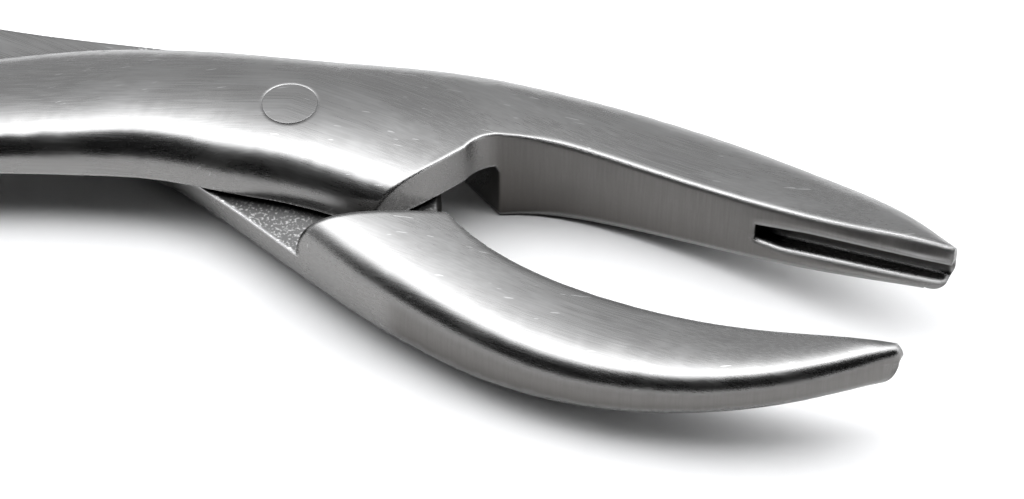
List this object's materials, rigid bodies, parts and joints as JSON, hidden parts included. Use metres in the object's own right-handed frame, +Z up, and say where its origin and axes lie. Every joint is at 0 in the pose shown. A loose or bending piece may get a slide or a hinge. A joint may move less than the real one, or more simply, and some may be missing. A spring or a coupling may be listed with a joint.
{
  "type": "dental extraction forceps",
  "caption": "Dental extraction forceps with a riveted lap joint, curved grooved beaks and long smooth handles, lying partly open on its side.",
  "frame": {"origin": "on the pivot axis, at the flat resting face under the joint", "axes": "+X from the pivot towards the beak tips, +Y towards the far beak, +Z up along the pivot axis"},
  "size_m": [0.1735, 0.0657, 0.0091],
  "materials": {
    "satin_steel_upper": "satin ground stainless steel with fine scratches",
    "satin_steel_lower": "satin ground stainless steel with fine scratches",
    "ground_rivet": "ground flush, satin"
  },
  "bodies": {
    "lower": {"lower_half": "satin_steel_lower", "pivot_rivet": "ground_rivet"},
    "upper": {"upper_half": "satin_steel_upper"}
  },
  "joints": [
    {"name": "pivot", "type": "hinge", "parent": "lower", "child": "upper", "pos_m": [0, 0, 0.004], "axis": [0, 0, 1], "range_deg": [-6.5, 40]}
  ]
}
